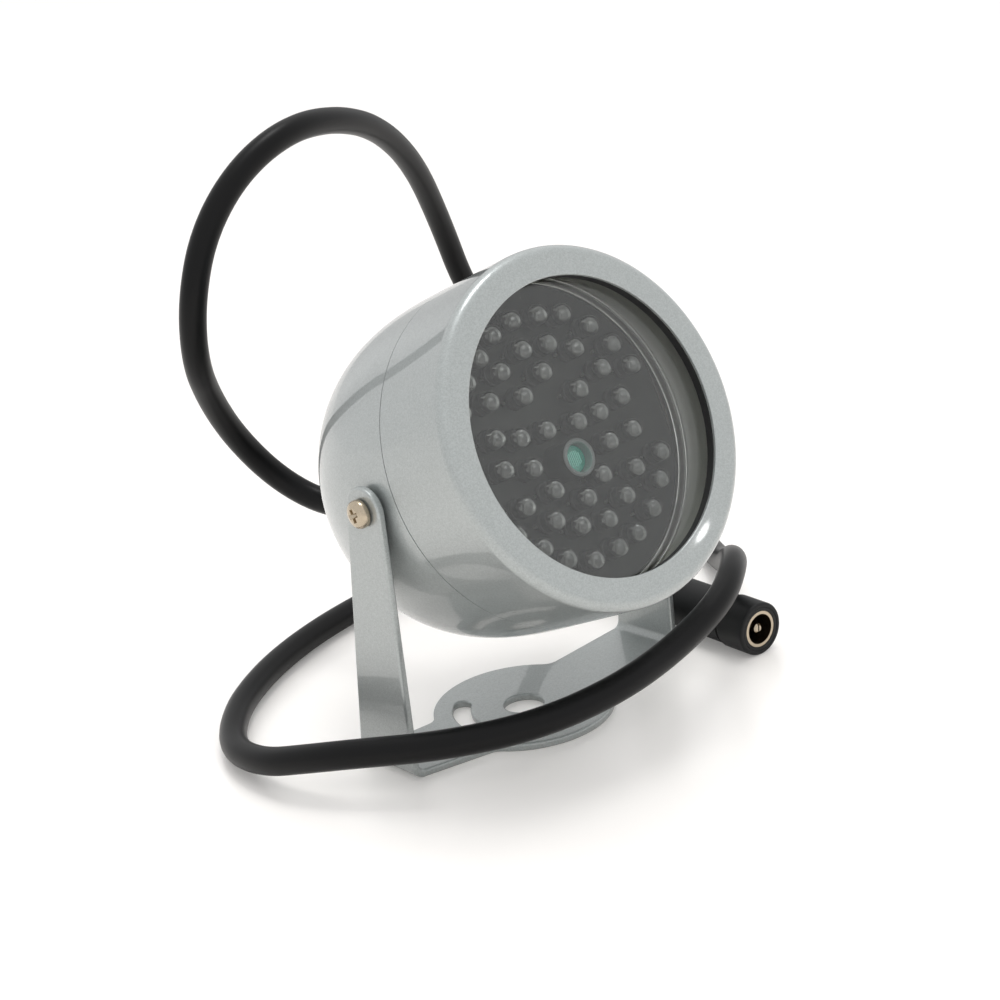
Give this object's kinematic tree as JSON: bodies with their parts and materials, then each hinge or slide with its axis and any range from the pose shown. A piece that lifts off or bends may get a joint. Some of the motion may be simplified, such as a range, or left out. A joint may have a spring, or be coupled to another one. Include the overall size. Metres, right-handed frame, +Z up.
{
  "type": "infrared illuminator",
  "caption": "Night-vision lamp for a security camera: round metal head with ringed diodes and a photocell behind glass, on a tilting U-bracket, with a corded power socket.",
  "frame": {"origin": "centre of the round hole in the base plate, on the underside that lies on the mounting surface", "axes": "+X along the pivot screws, -Y the way the lamp looks, +Z up from the base plate through the pivot"},
  "size_m": [0.1472, 0.1325, 0.1197],
  "materials": {
    "paint": "satin metallic silver-grey paint",
    "black_rubber": "matt",
    "window_glass": "polished",
    "bright_steel": "bright",
    "circuit_board": "matt black solder mask",
    "smoked_epoxy": "glossy, translucent grey",
    "photocell_green": "glossy",
    "clear_collar": "translucent",
    "black_plastic": "fine matt",
    "wire_insulation": "satin",
    "cord_jacket": "satin black jacket",
    "nickel": "nickel plate"
  },
  "bodies": {
    "bracket": {"mounting_bracket": "paint", "cord_loop": "cord_jacket", "jack_housing": "black_plastic", "jack_insulator": "black_plastic", "jack_sleeve": "nickel", "jack_pin": "nickel", "jack_strain_relief": "black_plastic"},
    "lamp": {"cord_lead": "cord_jacket", "front_barrel": "paint", "rear_dome": "paint", "seam_gasket": "black_rubber", "window_gasket": "black_rubber", "window_glass": "window_glass", "snap_ring_front": "bright_steel", "snap_ring_rear": "bright_steel", "led_board": "circuit_board", "leds_outer_ring": "smoked_epoxy", "leds_second_ring": "smoked_epoxy", "leds_third_ring": "smoked_epoxy", "leds_centre": "smoked_epoxy", "photocell": "photocell_green", "photocell_collar": "clear_collar", "ballast_resistors": "black_plastic", "driver_transistor": "black_plastic", "rectifier_diode": "black_plastic", "filter_capacitor": "bright_steel", "supply_wires": "wire_insulation", "cable_gland": "black_rubber", "cord_inner_end": "cord_jacket", "cable_tie": "black_plastic", "pivot_screw_left": "nickel", "pivot_screw_right": "nickel"}
  },
  "joints": [
    {"name": "tilt", "type": "hinge", "parent": "bracket", "child": "lamp", "pos_m": [0.003, -0.00094, 0.05512], "axis": [-1, 0, 0], "range_deg": [-113, 67], "deforming": ["cord_lead"]}
  ]
}
